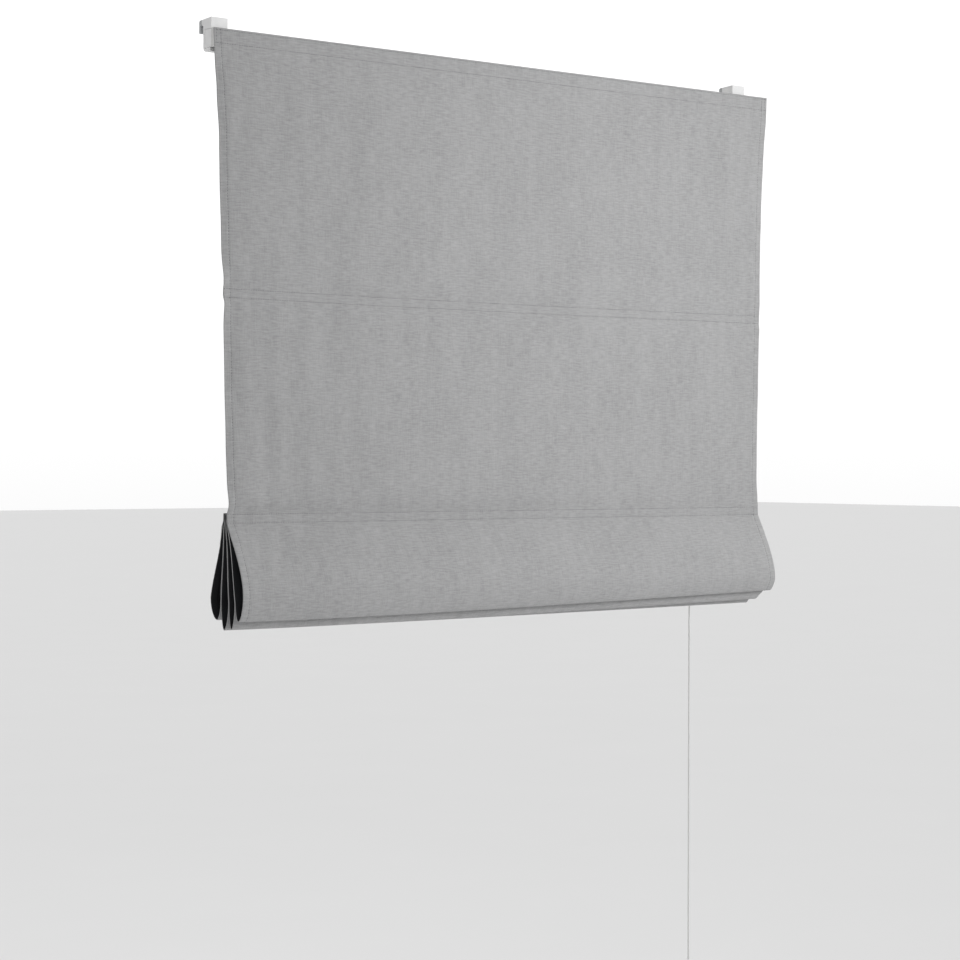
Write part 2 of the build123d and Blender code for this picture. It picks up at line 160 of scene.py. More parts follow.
# ---- shader maths ----
class Wire:
    """One value or colour on its way through a shader, with Python's operators."""

    def __init__(self, board, socket):
        self.board, self.socket = board, socket

    def maths(self, operation, *others, first=None):
        values = [self, *others] if first is None else [first, self]
        return self.board.node("ShaderNodeMath", {"operation": operation}, *values).out("Value")

    def __add__(self, other):
        return self.maths("ADD", other)

    def __radd__(self, other):
        return self.maths("ADD", first=other)

    def __sub__(self, other):
        return self.maths("SUBTRACT", other)

    def __rsub__(self, other):
        return self.maths("SUBTRACT", first=other)

    def __mul__(self, other):
        return self.maths("MULTIPLY", other)

    def __rmul__(self, other):
        return self.maths("MULTIPLY", first=other)

    def sine(self):
        return self.maths("SINE")

    def between(self, low, high):
        """0 below low, 1 above high and smooth between them."""
        ranged = self.board.node(
            "ShaderNodeMapRange", {"interpolation_type": "SMOOTHSTEP"},
            **{"Value": self, "From Min": low, "From Max": high})
        return ranged.out("Result")


class Placed:
    """A node that stands on a board; out() gives one of its sockets."""

    def __init__(self, board, node):
        self.board, self.node = board, node

    def out(self, name):
        return Wire(self.board, socket_named(self.node.outputs, name))


def socket_named(sockets, name):
    """The socket with that identifier, or else with that name."""
    for socket in sockets:
        if socket.identifier == name:
            return socket
    return sockets[name]


class Board:
    """A material's node tree, or a geometry one."""

    def __init__(self, tree):
        self.tree = tree

    def node(self, kind, settings=None, *values, **named):
        """Adds any node: its settings first, then the values or links of its sockets."""
        node = self.tree.nodes.new(kind)
        for key, value in (settings or {}).items():
            setattr(node, key, value)
        pairs = list(zip(node.inputs, values)) + [
            (socket_named(node.inputs, name), value) for name, value in named.items()]
        for socket, value in pairs:
            if isinstance(value, Wire):
                self.tree.links.new(value.socket, socket)
            else:
                socket.default_value = value
        return Placed(self, node)

    def mix(self, factor, a, b):
        """One colour into another by a factor."""
        sockets = {"Factor_Float": factor, "A_Color": a, "B_Color": b}
        return self.node("ShaderNodeMix", {"data_type": "RGBA"}, **sockets).out("Result_Color")

    def noise(self, place, scale, detail=2.0, roughness=0.5):
        sockets = {"Vector": place, "Scale": scale, "Detail": detail, "Roughness": roughness}
        return self.node("ShaderNodeTexNoise", None, **sockets).out("Fac")

    def stretched(self, place, factors):
        """The same place with its axes multiplied, so that a pattern is drawn out."""
        sockets = {"Vector": place, "Vector_001": factors}
        return self.node("ShaderNodeVectorMath", {"operation": "MULTIPLY"}, **sockets).out("Vector")

    def parts_of(self, place):
        split = self.node("ShaderNodeSeparateXYZ", None, Vector=place)
        return split.out("X"), split.out("Y"), split.out("Z")

    def object_place(self):
        return self.node("ShaderNodeTexCoord").out("Object")

    def cut_place(self):
        """Where a point lies on the flat cut cloth, in metres."""
        return self.node("ShaderNodeUVMap", {"uv_map": "cut"}).out("UV")

    def bump(self, height, distance, strength=1.0):
        sockets = {"Height": height, "Distance": distance, "Strength": strength}
        return self.node("ShaderNodeBump", None, **sockets).out("Normal")


def rgba(colour, by=1.0):
    return (colour[0] * by, colour[1] * by, colour[2] * by, 1.0)


def material(name, paint):
    """A new material whose paint function returns the surface's sockets."""
    made = bpy.data.materials.new(name)
    made.use_nodes = True
    made.node_tree.nodes.clear()
    board = Board(made.node_tree)
    surface = board.node("ShaderNodeBsdfPrincipled", None, **paint(board)).out("BSDF")
    board.node("ShaderNodeOutputMaterial", None, Surface=surface)
    return made


def woven_face(colour):
    """Plain weave with slubs along both threads and a faint large cloudiness."""

    def paint(board):
        place = board.cut_place()
        weft = board.noise(board.stretched(place, (85, 620, 1)), 1.0, 3.0, 0.65)
        warp = board.noise(board.stretched(place, (700, 70, 1)), 1.0, 3.0, 0.6)
        fine = board.noise(board.stretched(place, (1500, 1900, 1)), 1.0, 2.0)
        cloud = board.noise(board.stretched(place, (16, 12, 1)), 1.0, 3.0)
        patch = board.noise(board.stretched(place, (60, 36, 1)), 1.0, 3.0, 0.6)
        streak = board.noise(board.stretched(place, (75, 5, 1)), 1.0, 2.0)
        along, down, _ = board.parts_of(place)
        grid = (along * (2 * math.pi / 0.00095)).sine() * (down * (2 * math.pi / 0.00085)).sine()
        threads = 0.5 * weft + 0.24 * warp + 0.26 * fine
        mottle = 0.34 * cloud + 0.36 * patch + 0.3 * streak
        tone = board.mix(threads.between(0.33, 0.67), rgba(colour, 0.80), rgba(colour, 1.20))
        tone = board.mix(mottle.between(0.38, 0.62) * 0.16, tone, rgba(colour, 1.5))
        height = 0.45 * weft + 0.3 * warp + 0.12 * grid + 0.25 * fine
        return {
            "Base Color": tone,
            "Roughness": 0.9,
            "Sheen Weight": 0.25,
            "Sheen Roughness": 0.5,
            "Specular IOR Level": 0.25,
            "Normal": board.bump(height, 0.0005, 0.9),
        }

    return material("woven_grey_face", paint)


def coated_back(colour):
    """Matt black coating that shows a little of the weave."""

    def paint(board):
        place = board.cut_place()
        grain = board.noise(board.stretched(place, (900, 900, 1)), 1.0, 3.0)
        worn = board.noise(place, 35.0, 3.0)
        tone = board.mix((0.6 * grain + 0.4 * worn).between(0.35, 0.7), rgba(colour, 0.75), rgba(colour, 1.5))
        return {
            "Base Color": tone,
            "Roughness": 0.62 + 0.12 * grain,
            "Specular IOR Level": 0.3,
            "Normal": board.bump(grain, 0.0002, 0.5),
        }

    return material("coated_black_back", paint)


def twisted_thread(name, colour, pitch, along="Z"):
    """Fibres wound round a thread or cord that runs along one axis."""

    def paint(board):
        place = board.object_place()
        x, y, z = board.parts_of(place)
        across = {"X": y + z, "Z": x + y}[along]
        length = {"X": x, "Z": z}[along]
        turn = ((length + 1.6 * across) * (2 * math.pi / pitch)).sine()
        fibre = board.noise(place, 2600.0, 2.0)
        tone = board.mix((0.5 + 0.32 * turn + 0.5 * (fibre - 0.5)).between(0.0, 1.0),
                         rgba(colour, 0.8), rgba(colour, 1.12))
        return {
            "Base Color": tone,
            "Roughness": 0.75,
            "Normal": board.bump(0.7 * turn + 0.5 * fibre, 0.0001, 0.6),
        }

    return material(name, paint)


def moulded_plastic(name, colour, roughness, grain=1.0):
    """Moulded plastic: a fine spark texture, faint clouds and slightly rubbed gloss."""

    def paint(board):
        place = board.object_place()
        spark = board.noise(place, 1500.0, 2.0)
        cloud = board.noise(place, 60.0, 3.0)
        tone = board.mix(cloud.between(0.3, 0.7), rgba(colour, 0.965), rgba(colour, 1.02))
        return {
            "Base Color": tone,
            "Roughness": roughness - 0.06 + 0.12 * cloud,
            "Specular IOR Level": 0.5,
            "Normal": board.bump(spark, 0.00006 * grain, 0.5),
        }

    return material(name, paint)


def metal_finish(name, colour, metallic, roughness):
    """Drawn or plated metal with fine lines along the piece."""

    def paint(board):
        place = board.object_place()
        lines = board.noise(board.stretched(place, (12, 1500, 1500)), 1.0, 2.0)
        cloud = board.noise(place, 90.0, 2.0)
        tone = board.mix(lines.between(0.3, 0.7), rgba(colour, 0.92), rgba(colour, 1.05))
        return {
            "Base Color": tone,
            "Metallic": metallic,
            "Roughness": roughness + 0.14 * (cloud - 0.5) + 0.1 * (lines - 0.5),
            "Normal": board.bump(lines, 0.00004, 0.4),
        }

    return material(name, paint)


def napped_tape(name, colour, pitch, depth):
    """Hook or loop tape: rows of small loops on a woven ground."""

    def paint(board):
        x, y, z = board.parts_of(board.object_place())
        rows = (x * (2 * math.pi / pitch)).sine() * (z * (2 * math.pi / (pitch * 0.8))).sine()
        tangle = board.noise(board.object_place(), 1400.0, 3.0, 0.7)
        height = 0.5 + 0.25 * rows + 0.5 * (tangle - 0.5)
        tone = board.mix(height.between(0.15, 0.85), rgba(colour, 0.7), rgba(colour, 1.08))
        return {"Base Color": tone, "Roughness": 0.9, "Normal": board.bump(height, depth, 0.8)}

    return material(name, paint)


def finish_node(name, made):
    """Gives a construction node its material."""
    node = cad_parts[name]
    if not node.material_slots:
        node.data.materials.append(made)
    for place in node.material_slots:
        place.material = made


# ---- meshes ----
def new_object(name, data):
    made = bpy.data.objects.new(name, data)
    bpy.context.scene.collection.objects.link(made)
    return made


def new_mesh(name, points, faces, materials, face_slots=None, uvs=None):
    """A smooth-shaded object at the origin with its place in its mesh."""
    mesh = bpy.data.meshes.new(name)
    mesh.from_pydata(points, [], faces)
    for made in materials:
        mesh.materials.append(made)
    if face_slots:
        mesh.polygons.foreach_set("material_index", face_slots)
    mesh.polygons.foreach_set("use_smooth", [True] * len(mesh.polygons))
    if uvs:
        layer = mesh.uv_layers.new(name="cut")
        for loop in mesh.loops:
            layer.data[loop.index].uv = uvs[loop.vertex_index]
    mesh.update()
    return new_object(name, mesh)


def as_mesh(piece, name):
    """The evaluated piece as a plain mesh object; the piece itself goes."""
    bpy.context.view_layer.update()
    evaluated = piece.evaluated_get(bpy.context.evaluated_depsgraph_get())
    mesh = bpy.data.meshes.new_from_object(evaluated)
    bpy.data.objects.remove(piece)
    return new_object(name, mesh)


def smooth(t):
    t = min(1.0, max(0.0, t))
    return t * t * (3 - 2 * t)


def hill(t):
    """1 at t = 0 and nearly 0 past t = 2 either way."""
    return math.exp(-t * t)


# ---- a piece's place baked into its mesh ----
def follow_raising(piece):
    """Bakes the piece's place into its mesh. How far it would stretch between the head rail and the gathered
    folds, stiff at the first lath's pocket, is worked out but not used.
    """
    top, seam, stack = RAIL_LOW.z, LATH_Z[0], LATH_Z[1]
    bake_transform(piece)
    for vertex in piece.data.vertices:
        z = vertex.co.z
        above = smooth((top - z) / (top - seam - POCKET_HALF - MM))
        below = smooth((seam - POCKET_HALF - MM - z) / (seam - stack - 2 * (POCKET_HALF + MM)))
        0.5 * above + 0.5 * below
    return piece


# ---- cords ----
def cord_tube(name, points, radius, made):
    """A round cord along a smooth curve with those control points, as a mesh, and its middle line."""
    line = bpy.data.curves.new(name, "CURVE")
    line.dimensions = "3D"
    spline = line.splines.new("NURBS")
    spline.points.add(len(points) - 1)
    for point, place in zip(spline.points, points):
        point.co = (*place, 1.0)
    spline.order_u = 3
    spline.use_endpoint_u = True
    line.resolution_u = 24
    piece = new_object(name, line)
    bpy.context.view_layer.update()
    middle = bpy.data.meshes.new_from_object(piece.evaluated_get(bpy.context.evaluated_depsgraph_get()))
    path = [tuple(v.co) for v in middle.vertices]
    bpy.data.meshes.remove(middle)
    line.bevel_depth = radius
    line.bevel_resolution = 3
    line.use_fill_caps = True
    line.materials.append(made)
    return as_mesh(piece, name), path


STRAND_RADIUS = 0.5 * MM
STRANDS = {   # control points: out of the cord lock, back clear of the bottom bar's way up, down to the knot
    "left": [
        (0.681, -0.0101, -0.031), (0.681, -0.0089, -0.043), (0.681, 0.0, -0.2), (0.681, -0.0022, -1.1551)],
    "right": [
        (0.681, -0.0087, -0.031), (0.681, -0.0075, -0.043), (0.681, 0.0014, -0.2), (0.681, -0.0008, -1.1551)],
}


def pulling_strands(settings):
    """The two strands from the cord lock to the tassel; returns their material."""
    cord = twisted_thread("braided_white_cord", settings.cord_colour, 0.0016)
    for side, points in STRANDS.items():
        strand, path = cord_tube(f"pulling_strand_{side}", points, STRAND_RADIUS, cord)
        top = points[0]
        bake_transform(strand)
        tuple(top)
        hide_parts(f"pull_strand_{side}")
        length = sum(math.dist(a, b) for a, b in zip(path, path[1:]))
        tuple(top)
        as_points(path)
    return cord


def lift_cords(cord):
    """From the lowest rings up to the rail and along it to the cord lock."""
    bend = 3 * MM   # room for a turn inside the rail
    for side in ("left", "right"):
        low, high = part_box(f"lift_cord_{side}")
        x = low.x + STRAND_RADIUS
        rail_y = STRANDS[side][0][1]
        level, near = high.z - STRAND_RADIUS, 12 * STRAND_RADIUS
        back, cord_low = high.y - STRAND_RADIUS, low.z + STRAND_RADIUS
        points = [
            (x, back, cord_low), (x, low.y + 4.5 * MM, cord_low), (x, low.y + STRAND_RADIUS, cord_low),
            (x, low.y + STRAND_RADIUS, cord_low + near), (x, rail_y, RAIL_LOW.z), (x, rail_y, level - bend),
            (x, rail_y, level), (x + bend, rail_y, level), (STRAND_X - bend, rail_y, level),
            (STRAND_X, rail_y, level), (STRAND_X, rail_y, level - bend), STRANDS[side][0],
        ]
        piece, _ = cord_tube(f"lifting_cord_{side}", points, STRAND_RADIUS, cord)
        follow_raising(piece)
        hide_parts(f"lift_cord_{side}")


# ---- the cloth's section ----
def front_of(lath):
    """Middle of the cloth's thickness in front of a lath."""
    return LATHS[lath][0].y - POCKET_CLEARANCE - CLOTH_THICKNESS / 2


# the side edges' draw-in down the hanging cloth, as (depth below the top, draw-in) in millimetres
DRAWN_LEFT = [
    (0, 0), (24, 1), (60, 5.5), (116, 9), (229, 11.2), (277, 12.7), (332, 15), (467, 16.3), (515, 17.6)]
DRAWN_RIGHT = [
    (0, 0), (24, 1), (60, 3.5), (116, 6.5), (229, 9.5), (277, 12), (332, 12.6), (467, 14.4), (515, 12)]

# the faces between one gathered fold and the next: where each bulges furthest as (y at the left end, y at the
# right end, z), then two handles as shares of the way there
FLANKS = [
    (-58.4, -52.3, -591, (0.30, 0.30), (1.00, 0.68)),
    (-42.9, -41.5, -598, (0.32, 0.25), (0.80, 0.62)),
    (-31.5, -29.8, -598, (0.40, 0.33), (0.80, 0.67)),
    (-16.8, -18.2, -597, (0.30, 0.30), (1.00, 0.60)),
    (3.6, -4.6, -593, (0.00, 0.35), (0.75, 0.75)),
]
# each fold's lowest point as (y left, y right, z left, z right, sag between)
TIPS = [
    (-48.9, -46.5, -616, -607.0, 2.6),
    (-36.1, -34.8, -624.8, -617.5, 2.0),
    (-22.8, -24.5, -626, -622.3, 1.0),
    (-9.8, -12.8, -616, -613, 1.0),
]
# the folds' side edges as (left, right, how far the right corner is rounded off)
FOLD_EDGES = [(2.6, 775.2, 3.0), (2.4, 771.0, 12.0), (2.2, 768.0, 14.0), (2.0, 758.0, 5.0)]
TOP_EDGES = (8.6, 771.5)
TOP_INSET = 2.2 * MM


def along(table, depth):
    """A value between a table's rows, turning smoothly from row to row."""
    for (low, a), (high, b) in zip(table, table[1:]):
        if depth <= high:
            t = (depth - low) / (high - low)
            return a + (b - a) * (0.5 * t + 0.5 * smooth(t))
    return table[-1][1]


def bezier(a, b, c, d, count):
    """Points of a cubic curve after its first one."""
    points = []
    for i in range(1, count + 1):
        t = i / count
        s = 1 - t
        points.append(tuple(
            s ** 3 * p + 3 * s * s * t * q + 3 * s * t * t * r + t ** 3 * w
            for p, q, r, w in zip(a, b, c, d)))
    return points


def straight(a, b, count, crowd=0.0):
    """Points of a line after its first one, closer together at both ends where crowd is more than 0."""
    points = []
    for i in range(1, count + 1):
        t = i / count
        t += crowd * ((1 - math.cos(math.pi * t)) / 2 - t)
        points.append((a[0] + (b[0] - a[0]) * t, a[1] + (b[1] - a[1]) * t))
    return points


class Section:
    """The cloth's middle line from top hem to bottom hem at one place across it, and its side edges."""

    def __init__(self, across):
        self.points, self.edges, self.marks = [], [], {}
        self.across = across
        front = front_of(0)
        top = UPPER_HIGH.z
        left, right = UPPER_LOW.x, UPPER_HIGH.x
        self.points.append((front, top))
        self.edges.append((left, right))
        for line, depth in enumerate(TOP_LINES):
            self.run(straight(self.points[-1], (front, top - depth), 2 + 3 * line), self.flat_edges)
            self.marks[f"top_{line}"] = len(self.points) - 1
        for lath, rows in ((0, 40), (1, 36)):
            upper, lower = LATH_Z[lath] + POCKET_HALF, LATH_Z[lath] - POCKET_HALF
            self.run(straight(self.points[-1], (front, upper), rows, 0.75), self.flat_edges)
            self.marks[f"seam_{lath}_upper"] = len(self.points) - 1
            self.run(straight(self.points[-1], (front, lower), 7), self.flat_edges)
            self.marks[f"seam_{lath}_lower"] = len(self.points) - 1
        for fold in range(4):
            self.gathered_fold(fold)
            self.over_top(fold + 2)
        self.bottom_hem()

    def run(self, points, edges):
        for y, z in points:
            self.points.append((y, z))
            self.edges.append(edges(z))

    def flat_edges(self, z):
        """Side edges of the hanging part, drawn in more and more."""
        depth = (UPPER_HIGH.z - z) / MM
        return UPPER_LOW.x + along(DRAWN_LEFT, depth) * MM, UPPER_HIGH.x - along(DRAWN_RIGHT, depth) * MM

    def top_edges(self, z):
        """Side edges at the gathered tops, just past the laths' ends, and a little wider below them."""
        inset = TOP_INSET * smooth((z - LATH_Z[1] + POCKET_HALF + 5 * MM) / (9 * MM))
        return TOP_EDGES[0] * MM + inset, TOP_EDGES[1] * MM - inset

    def flank(self, number, shift=0.0):
        """The face in front of a gathered fold, from its pocket down to where it bulges furthest."""
        left, right, low, first, second = FLANKS[number]
        if number == 4:   # only the left end stands out at the back
            y = right + (left - right) * hill(self.across / 0.09)
        else:
            y = left + (right - left) * self.across
        y += 0.35 * noise.noise(Vector((self.across * 5.0, number * 3.7, 0.0)))
        top = Vector((front_of(number + 1) + shift, LATH_Z[1] - POCKET_HALF))
        way = Vector((y * MM + shift, low * MM)) - top
        handles = [top + Vector((way.x * y_share, way.y * z_share)) for y_share, z_share in (first, second)]
        return [tuple(p) for p in (top, *handles, top + way)]

    def gathered_fold(self, fold):
        """Down the fold's face, round its tip and up its back."""
        front, rear = self.flank(fold), self.flank(fold + 1, -LAYER_STEP)
        left_y, right_y, left_z, right_z, sag = TIPS[fold]
        tip_y = (left_y + (right_y - left_y) * self.across) * MM
        hang = sag * math.sin(math.pi * self.across ** 0.7)
        tip_z = (left_z + (right_z - left_z) * self.across - hang) * MM
        rows = (24, 9, 7, 12) if fold == 0 else (9, 6, 6, 7)
        bottom, belly_z = front[0][1], front[3][1]
        left, right, corner = FOLD_EDGES[fold]
        first = self.edges[-1]

        def edges(z, hidden=fold > 0):
            top_left, top_right = self.top_edges(z) if hidden else first
            share = smooth((bottom - z) / (bottom - belly_z))
            rounded = corner * MM * smooth((belly_z - z) / (belly_z - tip_z)) ** 1.5
            return (top_left + (left * MM - top_left) * share,
                    top_right + (right * MM - top_right) * share - rounded)

        def rear_edges(z):
            return edges(z, hidden=True)

        self.run(bezier(*front, rows[0]), edges)
        self.marks[f"belly_{fold}"] = len(self.points) - 1
        round_off = 0.55
        belly, back = front[3], rear[3]
        tip = (tip_y, tip_z)
        self.run(bezier(
            belly, (belly[0], belly[1] + round_off * (tip_z - belly[1])),
            (tip_y + (1 - round_off) * (belly[0] - tip_y), tip_z), tip, rows[1]), edges)
        self.marks[f"tip_{fold}"] = len(self.points) - 1
        self.run(bezier(
            tip, (tip_y + (1 - round_off) * (back[0] - tip_y), tip_z),
            (back[0], back[1] + round_off * (tip_z - back[1])), back, rows[2]), rear_edges)
        self.run(bezier(*reversed(rear), rows[3]), rear_edges)

    def over_top(self, lath):
        """Up to the next pocket's top, over it and down its front."""
        front = front_of(lath)
        rise = front - LAYER_STEP
        middle_z = LATH_Z[lath]
        half = (LATHS[lath][1].z - LATHS[lath][0].z) / 2 + POCKET_EDGE
        high = middle_z + half
        edges = self.top_edges
        self.run(straight(self.points[-1], (rise, high), 3), edges)
        arc = [(rise + LAYER_STEP / 2 * (1 - math.cos(a)), high + LAYER_STEP / 2 * math.sin(a))
               for a in (math.pi / 4, math.pi / 2, 3 * math.pi / 4, math.pi)]
        self.run(arc, edges)
        self.marks[f"seam_{lath}_upper"] = len(self.points) - 1
        self.run(straight(self.points[-1], (front, middle_z - half), 4), edges)
        self.marks[f"seam_{lath}_lower"] = len(self.points) - 1

    def bottom_hem(self):
        """The free hem below the bottom bar stands a little back."""
        y, z = self.points[-1]
        back = (3.2 + 1.2 * noise.noise(Vector((self.across * 4.0, 9.0, 0.0)))) * MM
        self.run(bezier(
            (y, z), (y, z - 7 * MM), (y + 0.4 * back, z - 15 * MM), (y + back, z - BOTTOM_FLAP), 7),
            self.top_edges)
        self.marks["bottom_edge"] = len(self.points) - 1


def columns_across(settings):
    """Places across the cloth as shares of its width: close together at the hems."""
    width = UPPER_HIGH.x - UPPER_LOW.x
    hem = [h * MM / width for h in HEM_COLUMNS]
    inner = settings.columns
    middle = [hem[-1] + (1 - 2 * hem[-1]) * i / inner for i in range(1, inner)]
    return hem + middle + [1 - h for h in reversed(hem)]


def relief(x, z, share, settings):
    """How far the hanging cloth stands out towards the room at one place, in metres."""
    seam_1, seam_2 = LATH_Z[0], LATH_Z[1]
    wrinkle = settings.wrinkle_height
    left = hill(x / (95 * MM))
    height = grooves = hold = 0.0
    for seam, strength in (
        (seam_1, 1 - 0.55 * smooth((share - 0.3) / 0.4)), (seam_2, 1 - 0.5 * smooth((share - 0.45) / 0.4)),
    ):
        above = z - seam - POCKET_HALF
        below = seam - POCKET_HALF - z
        uneven = 1 + 0.5 * noise.noise(Vector((x * 17, seam * 9, 0.6)))
        if above > 0:
            height += settings.tuck_depth * strength * uneven * (1 - hill(above / (10 * MM))) * math.exp(
                -above / (55 * MM))
        elif below > 0 and seam == seam_1:
            height += 0.5 * settings.tuck_depth * uneven * (1 - hill(below / (5 * MM))) * math.exp(
                -below / (40 * MM))
        nearest = min(abs(above), abs(below))
        grooves -= 0.3 * MM * hill(nearest / (0.75 * MM))
        gap = max(0.0, abs(z - seam) - POCKET_HALF)
        hold = max(hold, hill(gap / (5 * MM)))
        height += 2.0 * wrinkle * (0.3 + left) * noise.noise(Vector((x * 105, z * 7, 2.2))) * math.exp(
            -gap / (16 * MM)) * (1 - hill(gap / (3 * MM)))
    between = smooth((seam_1 - z) / (10 * MM)) * smooth((z - seam_2) / (10 * MM))
    loose = wrinkle * noise.noise(Vector((x * 58, z * 5.5, 1.3))) * (0.4 + 1.4 * left * between)
    loose += 0.75 * wrinkle * noise.noise(Vector((x * 26, z * 4.0, 7.1)))
    loose += 2.2 * wrinkle * noise.noise(Vector((x * 5.2, z * 4.6, 4.4)))
    loose += 0.5 * wrinkle * noise.noise(Vector((x * 42, z * 38, 9.4)))
    height += loose * (1 - 0.85 * hold)
    free = smooth((UPPER_HIGH.z - 22 * MM - z) / (34 * MM))   # flat where the top is held on its tape
    height = height * free
    return height * (1 - hold) + max(height, 0.0) * hold + grooves


def fold_relief(x, down, share, settings):
    """The same on the front fold's face, where down goes from 0 at the pocket to 1 at the belly."""
    wrinkle = settings.wrinkle_height
    slant = x + 0.35 * down * 0.08
    left = hill(x / (110 * MM))
    body = math.sin(math.pi * min(1.0, max(0.0, down)) ** 0.8)
    height = wrinkle * (0.45 + 1.3 * left) * noise.noise(Vector((slant * 75, down * 0.9, 3.9)))
    height += 1.3 * wrinkle * noise.noise(Vector((x * 9, down * 1.4, 8.8)))
    crease = hill((x - 0.437 - 0.006 * down) / (3.2 * MM)) - 0.6 * hill((x - 0.446) / (5 * MM))
    height -= 0.9 * wrinkle * crease * smooth((down - 0.2) / 0.5)
    return height * body


def hem_relief(row_length, from_edge):
    """Small puckers between a side hem's stitches and its edge, and the groove of the stitches."""
    groove = hill((from_edge - HEM_WIDTH) / (0.6 * MM))
    pucker = noise.noise(Vector((row_length * 95, 5.0, 0.0)))
    pucker *= math.exp(-((from_edge - 4.6 * MM) / (4 * MM)) ** 2)
    return -0.26 * MM * groove + 0.28 * MM * pucker


class ClothGrid:
    """The cloth's middle surface as rows down the strip and columns across it."""

    def __init__(self, settings):
        self.shares = columns_across(settings)
        sections = [Section(share) for share in self.shares]
        self.marks = sections[0].marks
        self.rows = len(sections[0].points)
        self.places, self.ways = [], []
        middle = sections[len(sections) // 2].points
        self.lengths = [0.0]
        for a, b in zip(middle, middle[1:]):
            self.lengths.append(self.lengths[-1] + math.dist(a, b))
        for row in range(self.rows):
            places, ways = [], []
            for share, section in zip(self.shares, sections):
                place, way = self.place_at(section, row, share, settings)
                places.append(place)
                ways.append(way)
            self.places.append(places)
            self.ways.append(ways)

    def place_at(self, section, row, share, settings):
        y, z = section.points[row]
        before = section.points[max(0, row - 1)]
        after = section.points[min(self.rows - 1, row + 1)]
        run = math.dist(before, after)
        out = ((after[1] - before[1]) / run, (before[0] - after[0]) / run)   # towards the woven side
        left, right = section.edges[row]
        x = left + (right - left) * share
        from_edge = min(share, 1 - share) * CLOTH_WIDTH
        seams = self.marks
        stand = 0.0
        if row <= seams["seam_1_lower"]:
            stand = relief(x, z, share, settings)
        elif row <= seams["belly_0"]:
            pocket_z = LATH_Z[1] - POCKET_HALF
            down = (pocket_z - z) / (pocket_z - section.points[seams["belly_0"]][1])
            stand = fold_relief(x, down, share, settings)
        puckered = smooth((row - seams["top_1"]) / 6)
        stand += hem_relief(self.lengths[row], from_edge) * (0.25 + 0.75 * puckered)
        if row > seams["tip_0"]:
            stand = 0.0
        sag = -1.2 * MM * math.sin(math.pi * share ** 0.8) * math.exp(-((z - LATH_Z[0]) / 0.09) ** 2)
        curl = 0.0
        if row < seams["seam_1_upper"]:
            free = smooth((UPPER_HIGH.z - 26 * MM - z) / (26 * MM))
            lath_hold = smooth((min(abs(z - LATH_Z[0]), abs(z - LATH_Z[1])) - 6 * MM) / (30 * MM))
            if share > 0.5:
                lath_hold *= 0.4
            curl = 2.6 * MM * hill(from_edge / (8 * MM)) * free * lath_hold
        return Vector((x, y + out[0] * stand + curl, z + out[1] * stand + sag)), Vector((0, *out))

    def hem_thickness(self, row, share):
        """What the side hem adds behind the cloth; nothing at the top tape and in the gathered tops."""
        from_edge = min(share, 1 - share) * CLOTH_WIDTH
        amount = 1 - smooth((from_edge - HEM_WIDTH + 0.4 * MM) / (0.8 * MM))
        z = self.places[row][0].z
        held = smooth((UPPER_HIGH.z - 24 * MM - z) / (8 * MM))
        near_top = 0.25 + 0.75 * smooth((LATH_Z[1] - POCKET_HALF - z) / (25 * MM))
        if row < self.marks["seam_1_upper"]:
            near_top = 1.0
        return HEM_EXTRA * amount * held * near_top

    def middle_at(self, row, share):
        """A point on the middle surface at a row and a share across, and the way to the woven side."""
        column = max(i for i, s in enumerate(self.shares) if s <= share + 1e-9)
        column = min(column, len(self.shares) - 2)
        part = (share - self.shares[column]) / (self.shares[column + 1] - self.shares[column])
        a, b = self.places[row][column], self.places[row][column + 1]
        return a + (b - a) * part, self.ways[row][column]

    def on_face(self, row, share, lift):
        """A point on the woven side, raised by lift."""
        middle, way = self.middle_at(row, share)
        return middle + way * (CLOTH_THICKNESS / 2 + lift)

    def on_back(self, row, share, lift):
        """A point on the coated side, raised by lift."""
        middle, way = self.middle_at(row, share)
        return middle - way * (CLOTH_THICKNESS / 2 + self.hem_thickness(row, share) + lift)


def thick_sheet(name, grid, face, back):
    """The cloth as a closed sheet: woven side out, coating behind, turned edges all round."""
    rows, columns = grid.rows, len(grid.shares)
    points, uvs, faces, slots = [], [], [], []
    for side in (1, -1):
        for row in range(rows):
            for column, share in enumerate(grid.shares):
                way = grid.ways[row][column]
                depth = CLOTH_THICKNESS / 2
                if side < 0:
                    depth += grid.hem_thickness(row, share)
                points.append(grid.places[row][column] + way * side * depth)
                uvs.append((share * CLOTH_WIDTH, grid.lengths[row]))
    back_start = rows * columns
    for row in range(rows - 1):
        for column in range(columns - 1):
            a = row * columns + column
            b, c, d = a + 1, a + columns + 1, a + columns
            faces.append((a, d, c, b))
            slots.append(0)
            faces.append((back_start + a, back_start + b, back_start + c, back_start + d))
            slots.append(1)
    for column in range(columns - 1):
        a, b = column, column + 1
        faces.append((a, b, back_start + b, back_start + a))
        c, d = (rows - 1) * columns + column, (rows - 1) * columns + column + 1
        faces.append((d, c, back_start + c, back_start + d))
        slots += [0, 0]
    for row in range(rows - 1):
        a, b = row * columns, (row + 1) * columns
        faces.append((b, a, back_start + a, back_start + b))
        c, d = a + columns - 1, b + columns - 1
        faces.append((c, d, back_start + d, back_start + c))
        slots += [0, 0]
    return new_mesh(name, points, faces, [face, back], slots, uvs)


